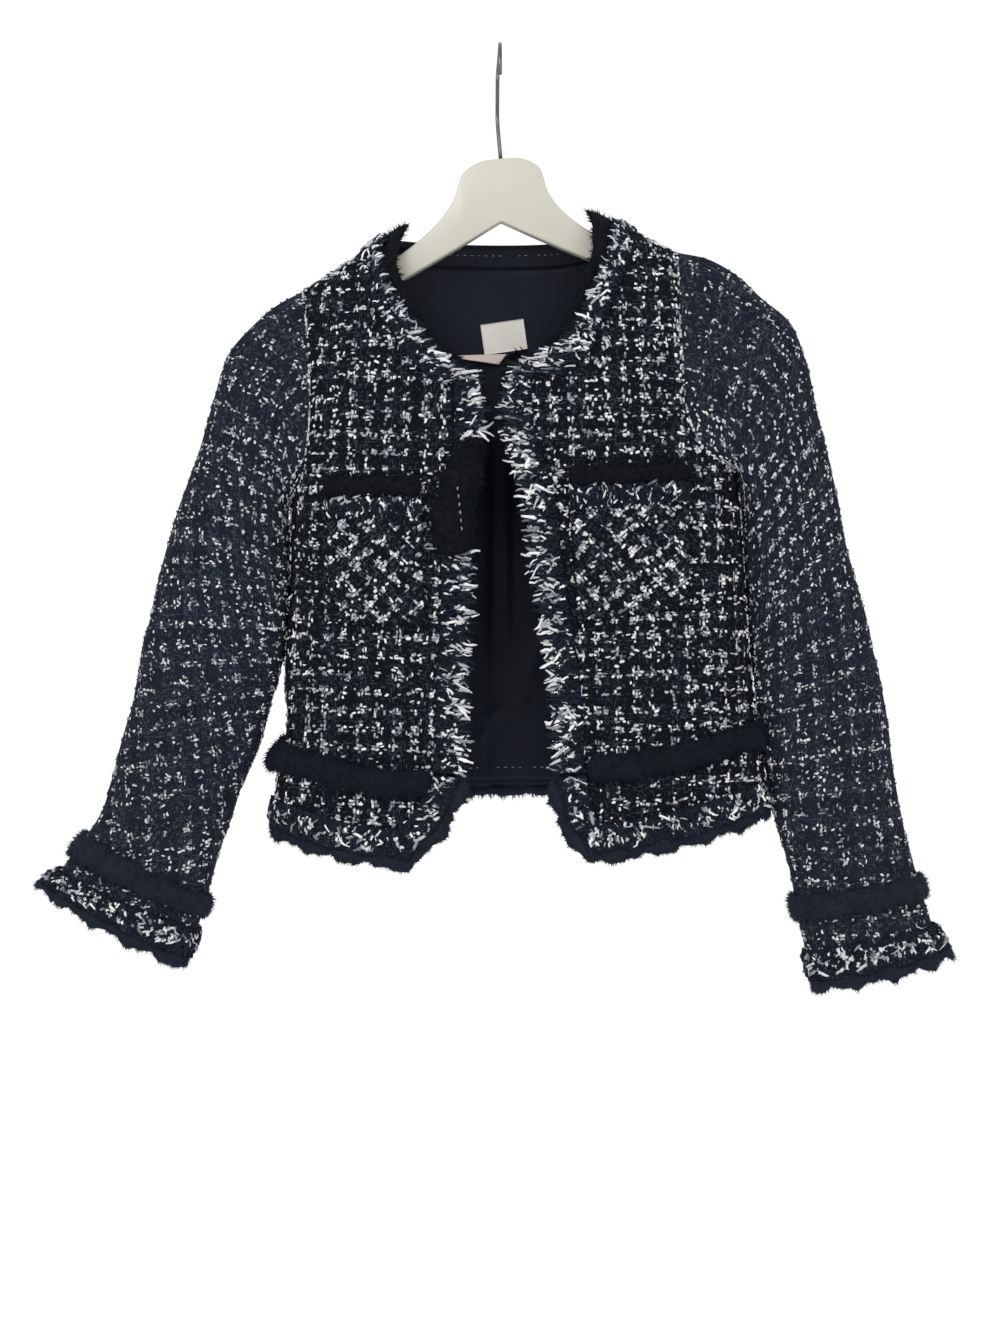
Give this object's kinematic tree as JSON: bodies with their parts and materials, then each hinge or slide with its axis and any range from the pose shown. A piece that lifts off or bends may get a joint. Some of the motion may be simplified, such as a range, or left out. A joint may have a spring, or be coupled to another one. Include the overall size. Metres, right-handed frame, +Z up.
{
  "type": "cropped tweed jacket on a hanger",
  "caption": "Cropped round-neck tweed jacket with frayed fringe edges, fur trim bands and chest pockets, hanging open on a wooden hanger with a wire hook.",
  "frame": {"origin": "inside top of the hook's bend, where it rests on a rail", "axes": "+Z up, the fronts face -Y, +X to the right of someone who faces the jacket; the rail runs along X, across the hook's plane"},
  "size_m": [0.809, 0.114, 0.8356],
  "materials": {
    "tweed": "matt slub tweed, near-black navy with off-white slubs",
    "fringe": "frayed tweed yarns",
    "fur": "short dark pile",
    "lining": "satin with a slight sheen",
    "label": "woven, blank",
    "white_paint": "white satin paint",
    "steel": "drawn wire"
  },
  "bodies": {
    "root": {"back_lining": "lining", "back_neck_facing": "lining", "back_panel": "tweed", "fringe_cuff_left": "fringe", "fringe_cuff_right": "fringe", "fringe_front_left": "fringe", "fringe_front_right": "fringe", "fringe_hem_back": "fringe", "fringe_hem_left": "fringe", "fringe_hem_right": "fringe", "fringe_neck_back": "fringe", "fringe_pocket_left": "fringe", "fringe_pocket_right": "fringe", "front_left": "tweed", "front_right": "tweed", "fur_band_back": "fur", "fur_band_cuff_left": "fur", "fur_band_cuff_right": "fur", "fur_band_left": "fur", "fur_band_right": "fur", "fur_cuff_left": "fur", "fur_cuff_right": "fur", "fur_edge_left": "fur", "fur_edge_right": "fur", "fur_hem_back": "fur", "fur_hem_left": "fur", "fur_hem_right": "fur", "fur_neck_left": "fur", "fur_neck_right": "fur", "fur_pocket_left": "fur", "fur_pocket_right": "fur", "fur_turned_left": "fur", "hanger": "white_paint", "hook": "steel", "label_main": "label", "label_size": "label", "pocket_left": "tweed", "pocket_right": "tweed", "sleeve_left": "tweed", "sleeve_right": "tweed"}
  },
  "joints": []
}
